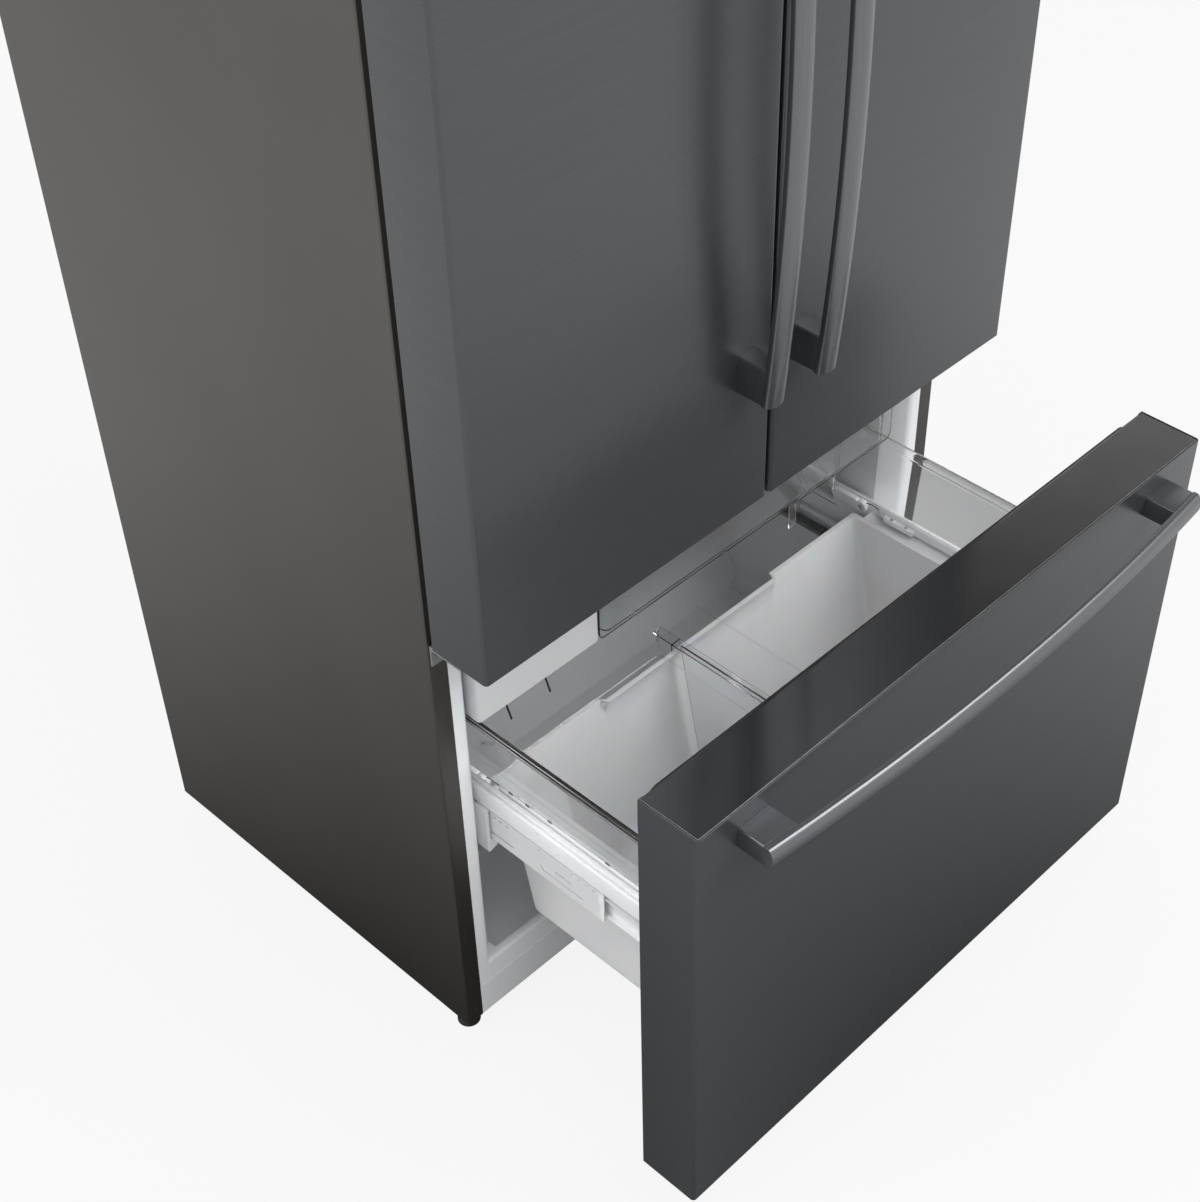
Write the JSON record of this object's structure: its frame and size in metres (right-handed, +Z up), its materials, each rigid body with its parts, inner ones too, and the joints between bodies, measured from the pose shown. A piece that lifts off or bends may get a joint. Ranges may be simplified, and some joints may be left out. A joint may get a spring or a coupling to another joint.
{
  "type": "bottom freezer refrigerator",
  "caption": "French-door refrigerator with hinged doors, a freezer drawer on synchronised telescopic slides, and bowed bar handles.",
  "frame": {"origin": "on the floor under the middle of the whole piece, with the freezer drawer drawn out as in the picture", "axes": "+X to the right as seen from the front, +Y to the back, +Z up"},
  "size_m": [0.9054, 1.0826, 1.829],
  "materials": {
    "black_steel": "brushed, dark satin",
    "case_paint": "smooth satin",
    "back_steel": "plain coated",
    "pan_steel": "satin black",
    "foam": "rigid cellular insulation",
    "liner_white": "vacuum-formed, semi-gloss",
    "strip_white": "satin",
    "hinge_grey": "satin grey",
    "cap_black": "fine grain",
    "rubber_black": "matt",
    "motor_black": "black enamel",
    "coil_black": "black coated",
    "fan_grey": "matt",
    "cover_grey": "coated",
    "coil_aluminium": "plain",
    "part_white": "satin white",
    "shelf_glass": "clear tempered",
    "clear_plastic": "clear moulded",
    "panel_black": "gloss",
    "lamp_white": "diffuser",
    "slide_steel": "zinc plated",
    "slide_white": "white coated"
  },
  "bodies": {
    "cabinet": {"outer_case": "case_paint", "back_panel": "back_steel", "base_pan": "pan_steel", "cabinet_foam": "foam", "fridge_liner": "liner_white", "freezer_liner": "liner_white", "front_rail": "case_paint", "base_strip": "strip_white", "door_hinges": "hinge_grey", "hinge_covers": "cap_black", "compressor": "motor_black", "condenser": "coil_black", "machine_cover": "cover_grey", "evaporator": "coil_aluminium", "evaporator_cover": "part_white", "air_duct": "part_white", "glass_shelves": "shelf_glass", "shelf_frames": "part_white", "control_panel": "panel_black", "lights": "lamp_white", "ice_maker": "part_white", "tray_runners": "part_white", "slide_outers": "slide_steel", "slide_racks": "part_white"},
    "foot_left": {"foot_left": "pan_steel"},
    "foot_right": {"foot_right": "pan_steel"},
    "rollers": {"rear_rollers": "fan_grey"},
    "condenser_fan": {"condenser_fan": "fan_grey"},
    "evaporator_fan": {"evaporator_fan": "part_white"},
    "crisper_left": {"crisper_left": "clear_plastic"},
    "crisper_right": {"crisper_right": "clear_plastic"},
    "ice_bin": {"ice_bin": "part_white"},
    "tray": {"upper_tray": "clear_plastic"},
    "slide_middles": {"slide_middles": "slide_white"},
    "sync_shaft": {"sync_shaft": "slide_steel"},
    "drawer": {"slide_inners": "slide_white", "drawer_rails": "slide_white", "top_rails": "part_white", "freezer_bin": "part_white", "bin_collar": "clear_plastic", "drawer_skin": "black_steel", "drawer_caps": "cap_black", "drawer_liner": "liner_white", "drawer_seal": "rubber_black", "drawer_handle": "black_steel"},
    "divider": {"bin_divider": "clear_plastic"},
    "door_left": {"left_door_skin": "black_steel", "left_door_caps": "cap_black", "left_door_liner": "liner_white", "left_door_seal": "rubber_black", "left_door_handle": "black_steel", "left_door_bins": "clear_plastic"},
    "door_right": {"right_door_skin": "black_steel", "right_door_caps": "cap_black", "right_door_liner": "liner_white", "right_door_seal": "rubber_black", "right_door_handle": "black_steel", "right_door_bins": "clear_plastic"},
    "mullion": {"mullion": "part_white"}
  },
  "joints": [
    {"name": "door_left_hinge", "type": "hinge", "parent": "cabinet", "child": "door_left", "pos_m": [-0.43, -0.1157, 1.805], "axis": [0, 0, -1], "range_deg": [0, 120]},
    {"name": "door_right_hinge", "type": "hinge", "parent": "cabinet", "child": "door_right", "pos_m": [0.43, -0.1157, 1.805], "axis": [0, 0, 1], "range_deg": [0, 120]},
    {"name": "mullion_fold", "type": "hinge", "parent": "door_left", "child": "mullion", "pos_m": [-0.034, -0.0617, 1.22], "axis": [0, 0, -1], "range_deg": [0, 90]},
    {"name": "drawer_slide", "type": "slide", "parent": "cabinet", "child": "drawer", "axis": [0, -1, 0], "range_m": [-0.3086, 0]},
    {"name": "slide_middles_travel", "type": "slide", "parent": "cabinet", "child": "slide_middles", "axis": [0, -1, 0], "range_m": [-0.1852, 0]},
    {"name": "sync_shaft_turn", "type": "hinge", "parent": "drawer", "child": "sync_shaft", "pos_m": [0, -0.0287, 0.306], "axis": [1, 0, 0], "range_deg": [-1855, 5]},
    {"name": "divider_slide", "type": "slide", "parent": "drawer", "child": "divider", "axis": [1, 0, 0], "range_m": [-0.11, 0.16]},
    {"name": "tray_slide", "type": "slide", "parent": "cabinet", "child": "tray", "axis": [0, -1, 0], "range_m": [0, 0.25]},
    {"name": "ice_bin_slide", "type": "slide", "parent": "cabinet", "child": "ice_bin", "axis": [0, -1, 0], "range_m": [0, 0.2]},
    {"name": "crisper_left_slide", "type": "slide", "parent": "cabinet", "child": "crisper_left", "axis": [0, -1, 0], "range_m": [0, 0.21]},
    {"name": "crisper_right_slide", "type": "slide", "parent": "cabinet", "child": "crisper_right", "axis": [0, -1, 0], "range_m": [0, 0.21]},
    {"name": "condenser_fan_spin", "type": "hinge", "parent": "cabinet", "child": "condenser_fan", "pos_m": [-0.06, 0.4493, 0.13], "axis": [1, 0, 0], "continuous": true},
    {"name": "evaporator_fan_spin", "type": "hinge", "parent": "cabinet", "child": "evaporator_fan", "pos_m": [0, 0.4393, 0.61], "axis": [0, 1, 0], "continuous": true},
    {"name": "rollers_spin", "type": "hinge", "parent": "cabinet", "child": "rollers", "pos_m": [0, 0.4813, 0.02], "axis": [1, 0, 0], "continuous": true},
    {"name": "foot_left_turn", "type": "hinge", "parent": "cabinet", "child": "foot_left", "pos_m": [-0.435, -0.0502, 0.02], "axis": [0, 0, 1], "continuous": true},
    {"name": "foot_right_turn", "type": "hinge", "parent": "cabinet", "child": "foot_right", "pos_m": [0.435, -0.0502, 0.02], "axis": [0, 0, 1], "continuous": true}
  ],
  "couplings": [
    {"joint": "slide_middles_travel", "follows": "drawer_slide", "ratio": 0.6},
    {"joint": "sync_shaft_turn", "follows": "drawer_slide", "rad_per_m": 104.72},
    {"joint": "crisper_left_slide", "follows": "door_left_hinge", "m_per_rad": 0.1},
    {"joint": "crisper_right_slide", "follows": "door_right_hinge", "m_per_rad": 0.1}
  ]
}
